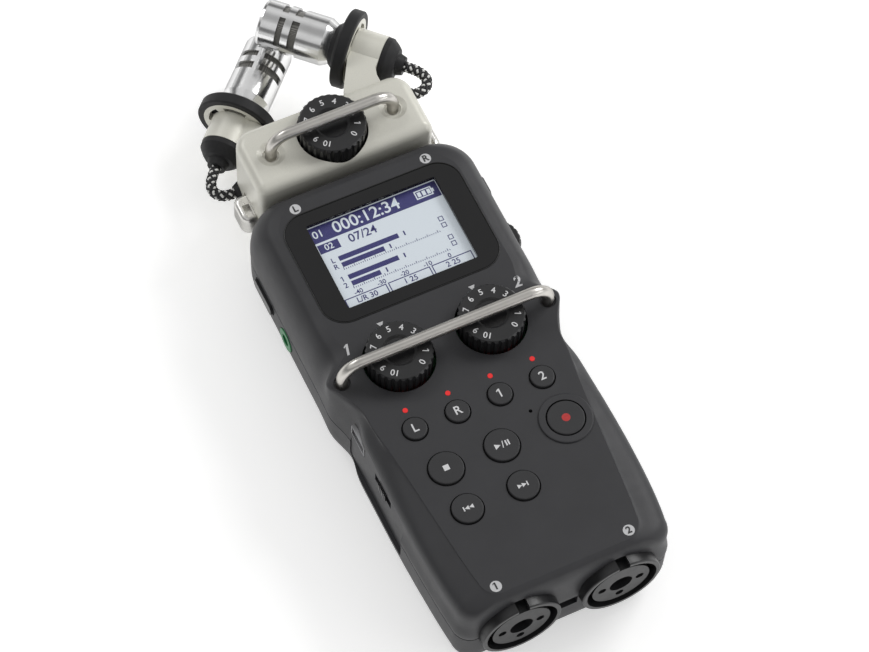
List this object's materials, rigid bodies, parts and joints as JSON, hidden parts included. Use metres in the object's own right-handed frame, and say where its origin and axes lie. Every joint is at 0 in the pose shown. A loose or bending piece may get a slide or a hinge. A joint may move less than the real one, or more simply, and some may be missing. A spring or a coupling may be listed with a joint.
{
  "type": "handheld voice recorder",
  "caption": "Palm-sized audio recorder with display, gain knobs under a guard bar, transport keys, combo jacks and a detachable crossed-pair microphone module.",
  "frame": {"origin": "mouth of the tripod thread, in the flat back face", "axes": "+Z out of the front face, +Y towards the microphones, +X to the user's right; the recorder lies on its back"},
  "size_m": [0.0689, 0.1969, 0.0421],
  "materials": {
    "case_plastic": "soft-touch charcoal",
    "window": "gloss",
    "lcd": "semi-gloss backlit panel",
    "board": "solder mask",
    "nickel": "satin nickel",
    "black_plastic": "fine matte",
    "green_ring": "matte",
    "steel": "satin",
    "cell": "printed wrap",
    "brass": "machined",
    "lamp": "clear red",
    "rubber": "matte",
    "module_paint": "satin champagne grey",
    "chrome": "polished",
    "mesh": "woven wire",
    "key_plastic": "satin"
  },
  "bodies": {
    "recorder": {"front_case": "case_plastic", "rear_case": "case_plastic", "display_window": "window", "lcd_panel": "lcd", "main_board": "board", "guard_bar": "nickel", "jack_shell_1": "black_plastic", "jack_shell_2": "black_plastic", "jack_inserts": "black_plastic", "phones_jack": "green_ring", "line_out_jack": "black_plastic", "usb_port": "steel", "card_socket": "steel", "memory_card": "black_plastic", "speaker": "steel", "tripod_insert": "brass", "batteries": "cell", "battery_contacts": "steel", "case_screws": "steel", "track_lamps": "lamp", "button_pad": "rubber", "gain_pots": "steel", "module_socket": "black_plastic"},
    "mic_module": {"mic_cover": "module_paint", "mic_base": "module_paint", "mic_bar": "nickel", "mic_plug": "black_plastic", "dial_pot": "steel", "mic_arm_left": "module_paint", "mic_arm_right": "module_paint", "shock_mount_left": "rubber", "shock_mount_right": "rubber", "mic_can_left": "chrome", "mic_can_right": "chrome", "mic_cable_left": "rubber", "mic_cable_right": "rubber", "mic_meshes": "mesh", "mic_capsules": "steel", "mic_boots": "rubber", "cable_glands": "rubber"},
    "gain_knob_1": {"gain_knob_1": "black_plastic"},
    "gain_knob_2": {"gain_knob_2": "black_plastic"},
    "button_left": {"button_left": "key_plastic"},
    "button_right": {"button_right": "key_plastic"},
    "button_1": {"button_1": "key_plastic"},
    "button_2": {"button_2": "key_plastic"},
    "button_record": {"button_record": "key_plastic"},
    "button_play": {"button_play": "key_plastic"},
    "button_stop": {"button_stop": "key_plastic"},
    "button_rewind": {"button_rewind": "key_plastic"},
    "button_forward": {"button_forward": "key_plastic"},
    "volume_rocker": {"volume_rocker": "black_plastic"},
    "power_slider": {"power_slider": "black_plastic"},
    "menu_button": {"menu_button": "black_plastic"},
    "scroll_wheel": {"scroll_wheel": "black_plastic"},
    "card_door": {"card_door": "case_plastic"},
    "battery_cover": {"battery_cover": "case_plastic"},
    "gain_dial": {"gain_dial": "black_plastic"},
    "latch_left": {"latch_left": "chrome"},
    "latch_right": {"latch_right": "chrome"}
  },
  "joints": [
    {"name": "gain_1_turn", "type": "hinge", "parent": "recorder", "child": "gain_knob_1", "pos_m": [-0.0134, -0.016, 0.0345], "axis": [0, 0, 1], "range_deg": [-145, 145]},
    {"name": "gain_2_turn", "type": "hinge", "parent": "recorder", "child": "gain_knob_2", "pos_m": [0.0134, -0.016, 0.0345], "axis": [0, 0, 1], "range_deg": [-145, 145]},
    {"name": "button_left_press", "type": "slide", "parent": "recorder", "child": "button_left", "axis": [0, 0, -1], "range_m": [0, 0.0005], "stiffness_N_per_m": 400},
    {"name": "button_right_press", "type": "slide", "parent": "recorder", "child": "button_right", "axis": [0, 0, -1], "range_m": [0, 0.0005], "stiffness_N_per_m": 400},
    {"name": "button_1_press", "type": "slide", "parent": "recorder", "child": "button_1", "axis": [0, 0, -1], "range_m": [0, 0.0005], "stiffness_N_per_m": 400},
    {"name": "button_2_press", "type": "slide", "parent": "recorder", "child": "button_2", "axis": [0, 0, -1], "range_m": [0, 0.0005], "stiffness_N_per_m": 400},
    {"name": "button_record_press", "type": "slide", "parent": "recorder", "child": "button_record", "axis": [0, 0, -1], "range_m": [0, 0.0005], "stiffness_N_per_m": 400},
    {"name": "button_play_press", "type": "slide", "parent": "recorder", "child": "button_play", "axis": [0, 0, -1], "range_m": [0, 0.0005], "stiffness_N_per_m": 400},
    {"name": "button_stop_press", "type": "slide", "parent": "recorder", "child": "button_stop", "axis": [0, 0, -1], "range_m": [0, 0.0005], "stiffness_N_per_m": 400},
    {"name": "button_rewind_press", "type": "slide", "parent": "recorder", "child": "button_rewind", "axis": [0, 0, -1], "range_m": [0, 0.0005], "stiffness_N_per_m": 400},
    {"name": "button_forward_press", "type": "slide", "parent": "recorder", "child": "button_forward", "axis": [0, 0, -1], "range_m": [0, 0.0005], "stiffness_N_per_m": 400},
    {"name": "volume_rock", "type": "hinge", "parent": "recorder", "child": "volume_rocker", "pos_m": [-0.0324, 0.026, 0.0135], "axis": [0, 0, 1], "range_deg": [-3, 3], "stiffness_Nm_per_rad": 0.02},
    {"name": "power_slide", "type": "slide", "parent": "recorder", "child": "power_slider", "axis": [0, 1, 0], "range_m": [-0.002, 0.002], "stiffness_N_per_m": 150},
    {"name": "menu_press", "type": "slide", "parent": "recorder", "child": "menu_button", "axis": [-1, 0, 0], "range_m": [0, 0.0005], "stiffness_N_per_m": 400},
    {"name": "scroll_turn", "type": "hinge", "parent": "recorder", "child": "scroll_wheel", "pos_m": [0.02776, 0.01, 0.0225], "axis": [0, 0, 1], "continuous": true},
    {"name": "card_door_swing", "type": "hinge", "parent": "recorder", "child": "card_door", "pos_m": [0.03168, -0.045, 0.0086], "axis": [0, 1, 0], "range_deg": [0, 90]},
    {"name": "battery_cover_lift", "type": "slide", "parent": "recorder", "child": "battery_cover", "axis": [0, 0, -1], "range_m": [0, 0.015]},
    {"name": "module_pull", "type": "slide", "parent": "recorder", "child": "mic_module", "axis": [0, 1, 0], "range_m": [0, 0.015]},
    {"name": "mic_gain_turn", "type": "hinge", "parent": "mic_module", "child": "gain_dial", "pos_m": [0, 0.05535, 0.0343], "axis": [0, 0, 1], "range_deg": [-145, 145]},
    {"name": "latch_left_press", "type": "slide", "parent": "mic_module", "child": "latch_left", "axis": [1, 0, 0], "range_m": [0, 0.0012], "stiffness_N_per_m": 400},
    {"name": "latch_right_press", "type": "slide", "parent": "mic_module", "child": "latch_right", "axis": [-1, 0, 0], "range_m": [0, 0.0012], "stiffness_N_per_m": 400}
  ]
}
